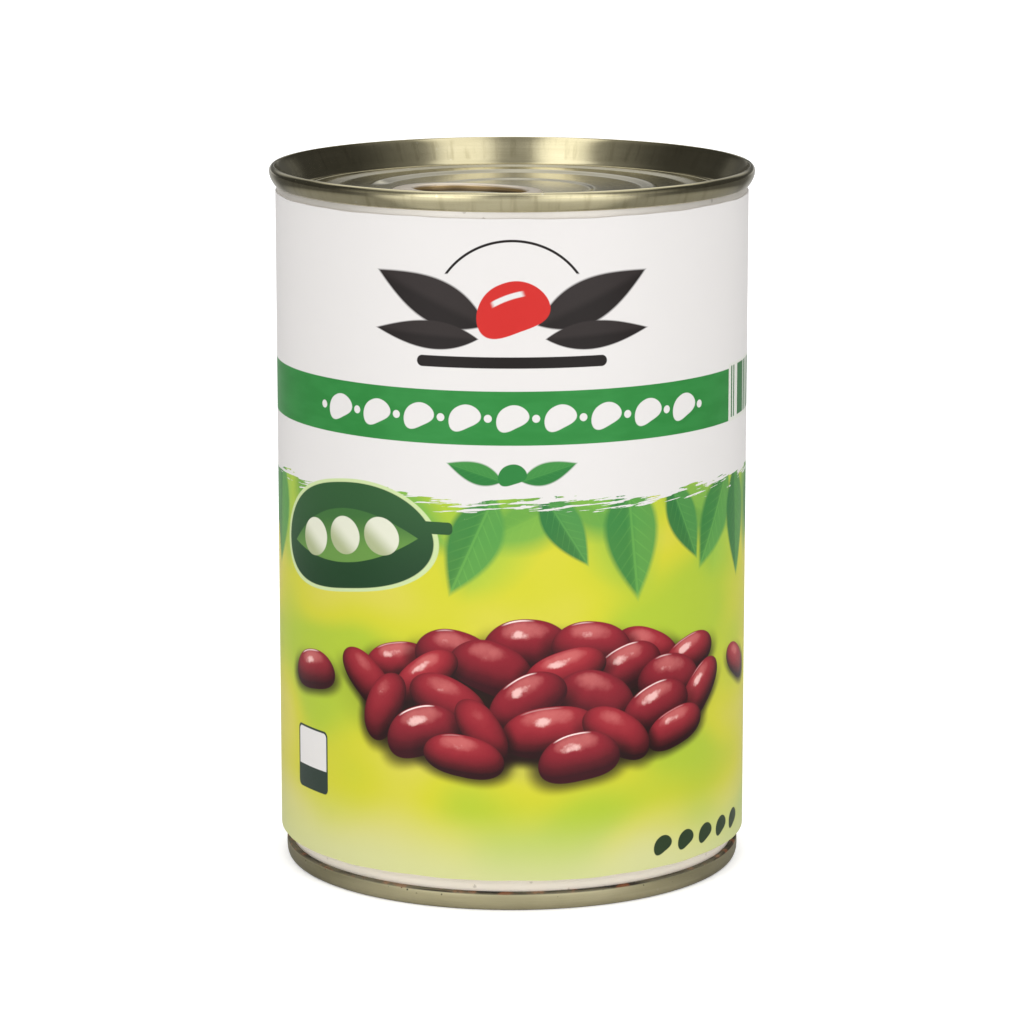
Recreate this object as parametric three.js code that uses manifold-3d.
// A closed steel can of cooked beans, standing on its bottom seam.
//
// It is 110 mm tall and 73 mm across, necked in at the bottom, with a paper
// label round the wall, an easy-open end with a ring-pull tab on top, and a
// plain end below. Units are millimetres, +Z is up, the origin is the middle
// of the base and -Y is the front of the label.

import * as THREE from "three";
import { mergeVertices } from "three/addons/utils/BufferGeometryUtils.js";
import Module from "manifold-3d";

const wasm = await Module();
wasm.setup();

// Driving dimensions of the can
const CAN_HEIGHT = 110;
const WALL_RADIUS = 36.45;
const TURN_SEGMENTS = 64;
const JOINT_GAP = 0.3;

// Neck: the wall draws in above the bottom seam (radius, height)
const NECK_RADIUS = 35;
const NECK_CURVE = [
  [35.65, 4.9],
  [36.1, 5.25],
  [36.35, 5.6],
  [WALL_RADIUS, 5.95],
];

// Paper label: a sleeve just clear of the wall
const LABEL_RADIUS = 36.75;
const LABEL_THICKNESS = 0.2;
const LABEL_BOTTOM = 5.03;
const LABEL_TOP = 106.02;

// Double seam of the top end, from its foot on the wall out and over the thin crest (radius, height)
const TOP_SEAM_CURVE = [
  [WALL_RADIUS, 107.05],
  [36.8, 107],
  [37.15, 107.4],
  [37.5, 108],
  [37.7, 108.55],
  [37.75, 109.05],
  [37.68, 109.5],
  [37.45, 109.83],
  [37.05, CAN_HEIGHT],
  [36.88, 109.85],
  [36.76, 109.5],
];

// Step of the end inside the seam: its steep wall, its groove and its panel
const TOP_UNDERSIDE = 105;
const TOP_PANEL = 106.1;
const TOP_PANEL_RADIUS = 33.4;
const TOP_STEP_CURVE = [
  [34.75, 106.2],
  [34.4, 105.65],
  [33.95, 105.65],
  [TOP_PANEL_RADIUS, TOP_PANEL],
];

// Raised rings of the top panel: the inner flank is the long one
const BEAD_HEIGHT = 0.3;
const BEAD_SHORT_FLANK = 0.5;
const BEAD_CREST = 0.6;
const BEAD_LONG_FLANK = 1.8;
const OUTER_BEAD_RADIUS = 30.3;
const INNER_BEAD_RADIUS = 22.9;
const OUTER_BEAD_GAP_ANGLE = 24;
const INNER_BEAD_GAP_ANGLE = 78;
const BEAD_EDGE_MARGIN = 0.01;
const CENTRE_DISC_RADIUS = 12.7;
const CENTRE_DISC_FLANK = 0.6;
const CENTRE_DISC_DROP = 0.15;

// Double seam of the bottom end, from the foot of its inner wall out and up to the neck (radius, height)
const BOTTOM_UNDERSIDE = 4.6;
const BOTTOM_SEAM_CURVE = [
  [33.2, 3.5],
  [34, 0.6],
  [34.17, 0.17],
  [34.5, 0],
  [35.3, 0],
  [35.62, 0.12],
  [35.79, 0.32],
  [35.9, 0.59],
  [35.94, 0.9],
  [35.94, 2.33],
  [35.74, 2.83],
  [35.5, 2.93],
  [NECK_RADIUS, 2.58],
  [NECK_RADIUS, 4],
  [35.4, BOTTOM_UNDERSIDE],
];

// Recessed bottom panel with its groove and its two shallow rings
const BOTTOM_PANEL = 3.5;
const BOTTOM_GROOVE_CURVE = [
  [31.8, BOTTOM_PANEL],
  [32.4, 4.05],
  [32.9, 4.05],
];
const BOTTOM_BEAD_RADII = [22.5, 29.5];
const BOTTOM_BEAD_WIDTH = 2.6;
const BOTTOM_BEAD_FLANK = 0.8;
const BOTTOM_BEAD_DROP = 0.4;

// Ring-pull tab: laid out from its rivet, +X towards the ring
const TAB_BEARING = 248;
const TAB_RIVET_X = -11.94;
const TAB_RIVET_Y = -25.22;
const TAB_BASE = 106.4;
const TAB_THICKNESS = 1.05;
const TAB_EDGE_ROUND = 0.3;
const TAB_NOSE_X = -4.6;
const FINGER_HOLE_X = 14.8;
const FINGER_HOLE_HALF_LENGTH = 9;
const FINGER_HOLE_HALF_WIDTH = 5.9;
const TAB_DISH_RADIUS = 3.2;
const TAB_DISH_PLATE_RADIUS = 3.9;
const TAB_DISH_BASE = 0.02;
const TAB_DISH_FLOOR = 0.35;
const FINGER_HOLE_SEGMENTS = 32;
const RIVET_HEAD_RADIUS = 2.4;
const RIVET_STEM_RADIUS = 1.4;
const RIVET_HEAD_HEIGHT = 0.45;
const RIVET_SEGMENTS = 24;
const RIVET_HEAD_STEPS = 4;

// Half outline of the tab from its nose to the end of its ring: two handles and an end for each curve
const TAB_HALF_OUTLINE = [
  [[TAB_NOSE_X, 3.6], [-2.4, 6.2], [1.2, 7.6]],
  [[5.4, 9.3], [8.4, 11.9], [13.8, 11.9]],
  [[19.6, 11.9], [22.1, 7], [22.1, 0]],
];
const TAB_CURVE_STEPS = 7;
const TAB_EDGE_STEPS = 2;

// Finishes, as seen on the can
const LACQUERED_STEEL = { color: 0xa89f80, roughness: 0.35, metalness: 1 };
const BARE_STEEL = { color: 0xc9c5bb, roughness: 0.4, metalness: 1 };
const TAB_STEEL = { color: 0xc4bca6, roughness: 0.3, metalness: 1 };
const LABEL_PAPER = { color: 0xd7dc7a, roughness: 0.55, metalness: 0 };

// A solid turned from a profile of radius and height
function turned(profile, segments = TURN_SEGMENTS) {
  const points = profile.map(([r, z]) => new THREE.Vector2(r, z));
  const geometry = new THREE.LatheGeometry(points, segments);
  return geometry.rotateX(Math.PI / 2);
}

// A closed mesh with only its positions, as a solid that can be cut or joined
function solidOf(geometry) {
  const plain = geometry.index ? geometry.toNonIndexed() : geometry.clone();
  plain.deleteAttribute("normal");
  plain.deleteAttribute("uv");
  const merged = mergeVertices(plain, 1e-4);
  return new wasm.Manifold(
    new wasm.Mesh({
      numProp: 3,
      vertProperties: merged.attributes.position.array,
      triVerts: new Uint32Array(merged.index.array),
    }),
  );
}

function geometryOf(solid) {
  const mesh = solid.getMesh();
  const geometry = new THREE.BufferGeometry();
  geometry.setAttribute("position", new THREE.BufferAttribute(mesh.vertProperties, 3));
  geometry.setIndex(new THREE.BufferAttribute(mesh.triVerts, 1));
  geometry.computeVertexNormals();
  return geometry;
}

function piece(name, geometry, finish) {
  const mesh = new THREE.Mesh(geometry, new THREE.MeshStandardMaterial(finish));
  mesh.name = name;
  return mesh;
}

// Angle in degrees between a point's bearing and the tab's, seen from above
function bearingFromTab(x, y) {
  const bearing = THREE.MathUtils.radToDeg(Math.atan2(y, x)) - TAB_BEARING;
  return Math.abs(THREE.MathUtils.euclideanModulo(bearing + 180, 360) - 180);
}

// Profile of one raised ring, from its outer foot in to its inner foot
function beadProfile(outerRadius, level) {
  const crestOuter = outerRadius - BEAD_SHORT_FLANK;
  const crestInner = crestOuter - BEAD_CREST;
  return [
    [outerRadius, level],
    [crestOuter, level + BEAD_HEIGHT],
    [crestInner, level + BEAD_HEIGHT],
    [crestInner - BEAD_LONG_FLANK, level],
  ];
}

// A ring is left out near the tab, so that the tab lies on flat panel
function interruptBead(geometry, outerRadius, gapAngle) {
  const innerRadius = outerRadius - BEAD_SHORT_FLANK - BEAD_CREST - BEAD_LONG_FLANK;
  const position = geometry.attributes.position;
  for (let i = 0; i < position.count; i++) {
    const radius = Math.hypot(position.getX(i), position.getY(i));
    const onBead = radius > innerRadius && radius < outerRadius;
    if (!onBead || position.getZ(i) < TOP_PANEL) continue;
    if (bearingFromTab(position.getX(i), position.getY(i)) < gapAngle) position.setZ(i, TOP_PANEL);
  }
}

// Domed profile of the rivet's head: a quarter of an ellipse up to the axis
function headCurve(base) {
  const points = [];
  for (let i = 0; i <= RIVET_HEAD_STEPS; i++) {
    const angle = ((Math.PI / 2) * i) / RIVET_HEAD_STEPS;
    points.push([RIVET_HEAD_RADIUS * Math.cos(angle), base + RIVET_HEAD_HEIGHT * Math.sin(angle)]);
  }
  return points;
}

// The rivet is drawn up out of the panel and its head is spread over the tab
function rivetSolid() {
  const islandTop = TAB_BASE + TAB_DISH_FLOOR;
  const headBase = islandTop + JOINT_GAP;
  const profile = [
    [0, TOP_UNDERSIDE + JOINT_GAP],
    [RIVET_STEM_RADIUS, TOP_UNDERSIDE + JOINT_GAP],
    [RIVET_STEM_RADIUS, headBase],
    ...headCurve(headBase),
  ];
  const geometry = turned(profile, RIVET_SEGMENTS);
  geometry.translate(TAB_RIVET_X, TAB_RIVET_Y, 0);
  return solidOf(geometry);
}

// Easy-open end: seam with its strip of wall, chuck wall, groove and panel
function topEnd() {
  const profile = [
    [0, TOP_UNDERSIDE],
    [WALL_RADIUS, TOP_UNDERSIDE],
    ...TOP_SEAM_CURVE,
    ...TOP_STEP_CURVE,
    ...beadProfile(OUTER_BEAD_RADIUS, TOP_PANEL),
    ...beadProfile(INNER_BEAD_RADIUS, TOP_PANEL),
    [CENTRE_DISC_RADIUS, TOP_PANEL],
    [CENTRE_DISC_RADIUS - CENTRE_DISC_FLANK, TOP_PANEL - CENTRE_DISC_DROP],
    [0, TOP_PANEL - CENTRE_DISC_DROP],
  ];
  const plate = turned(profile);
  interruptBead(plate, OUTER_BEAD_RADIUS + BEAD_EDGE_MARGIN, OUTER_BEAD_GAP_ANGLE);
  interruptBead(plate, INNER_BEAD_RADIUS + BEAD_EDGE_MARGIN, INNER_BEAD_GAP_ANGLE);
  const joined = solidOf(plate).add(rivetSolid());
  return piece("top_end", geometryOf(joined), LACQUERED_STEEL);
}

// Wall and contents in one: the shut can is solid between its two ends
function canBody() {
  const profile = [
    [0, BOTTOM_UNDERSIDE + JOINT_GAP],
    ...NECK_CURVE,
    [WALL_RADIUS, TOP_UNDERSIDE - JOINT_GAP],
    [0, TOP_UNDERSIDE - JOINT_GAP],
  ];
  return piece("can_body", turned(profile), BARE_STEEL);
}

// Plain end: its panel with two rings, its groove, and the rolled seam with the neck's strip of wall
function bottomEnd() {
  const beads = BOTTOM_BEAD_RADII.flatMap((radius) => [
    [radius - BOTTOM_BEAD_WIDTH, BOTTOM_PANEL],
    [radius - BOTTOM_BEAD_WIDTH + BOTTOM_BEAD_FLANK, BOTTOM_PANEL - BOTTOM_BEAD_DROP],
    [radius - BOTTOM_BEAD_FLANK, BOTTOM_PANEL - BOTTOM_BEAD_DROP],
    [radius, BOTTOM_PANEL],
  ]);
  const profile = [
    [0, BOTTOM_PANEL],
    ...beads,
    ...BOTTOM_GROOVE_CURVE,
    ...BOTTOM_SEAM_CURVE,
    [0, BOTTOM_UNDERSIDE],
  ];
  return piece("bottom_end", turned(profile), LACQUERED_STEEL);
}

// Paper sleeve round the wall
function label() {
  const inner = LABEL_RADIUS - LABEL_THICKNESS;
  const profile = [
    [inner, LABEL_BOTTOM],
    [LABEL_RADIUS, LABEL_BOTTOM],
    [LABEL_RADIUS, LABEL_TOP],
    [inner, LABEL_TOP],
    [inner, LABEL_BOTTOM],
  ];
  return piece("label", turned(profile), LABEL_PAPER);
}

// Outline of the tab: a blunt nose, flaring sides and a broad round ring end
function tabOutline() {
  const shape = new THREE.Shape();
  shape.moveTo(TAB_NOSE_X, 0);
  for (const [first, second, end] of TAB_HALF_OUTLINE) {
    shape.bezierCurveTo(...first, ...second, ...end);
  }
  const starts = [[TAB_NOSE_X, 0], ...TAB_HALF_OUTLINE.map((span) => span[2])];
  for (let i = TAB_HALF_OUTLINE.length - 1; i >= 0; i--) {
    const [first, second] = TAB_HALF_OUTLINE[i];
    const [x, y] = starts[i];
    shape.bezierCurveTo(second[0], -second[1], first[0], -first[1], x, -y);
  }
  return shape;
}

// An upright oval plug through the tab, used to cut a hole
function ovalPlug(centreX, halfX, halfY, steps) {
  const plug = new THREE.CylinderGeometry(1, 1, 4 * TAB_THICKNESS, steps);
  plug.rotateX(Math.PI / 2);
  plug.scale(halfX, halfY, 1);
  plug.translate(centreX, 0, 0);
  return solidOf(plug);
}

// Ring with rolled edges, and the thin dish that the rivet holds down
function pullTab() {
  const plate = new THREE.ExtrudeGeometry(tabOutline(), {
    depth: TAB_THICKNESS - 2 * TAB_EDGE_ROUND,
    bevelThickness: TAB_EDGE_ROUND,
    bevelSize: TAB_EDGE_ROUND,
    bevelOffset: -TAB_EDGE_ROUND,
    bevelSegments: TAB_EDGE_STEPS,
    curveSegments: TAB_CURVE_STEPS,
  });
  plate.translate(0, 0, TAB_EDGE_ROUND);
  const fingerHole = ovalPlug(
    FINGER_HOLE_X,
    FINGER_HOLE_HALF_WIDTH,
    FINGER_HOLE_HALF_LENGTH,
    FINGER_HOLE_SEGMENTS,
  );
  const dishHole = ovalPlug(0, TAB_DISH_RADIUS, TAB_DISH_RADIUS, RIVET_SEGMENTS);
  const rim = solidOf(plate).subtract(fingerHole).subtract(dishHole);
  const holeRadius = RIVET_STEM_RADIUS + JOINT_GAP;
  const dish = turned(
    [
      [holeRadius, TAB_DISH_BASE],
      [TAB_DISH_PLATE_RADIUS, TAB_DISH_BASE],
      [TAB_DISH_PLATE_RADIUS, TAB_DISH_FLOOR],
      [holeRadius, TAB_DISH_FLOOR],
      [holeRadius, TAB_DISH_BASE],
    ],
    RIVET_SEGMENTS,
  );
  const joined = rim.add(solidOf(dish));
  const tab = piece("pull_tab", geometryOf(joined), TAB_STEEL);
  const carrier = new THREE.Group();
  carrier.position.set(TAB_RIVET_X, TAB_RIVET_Y, TAB_BASE);
  carrier.rotation.z = THREE.MathUtils.degToRad(TAB_BEARING - 180);
  carrier.add(tab);
  return carrier;
}

const can = new THREE.Group();
can.add(canBody(), topEnd(), bottomEnd(), label(), pullTab());

export default can;
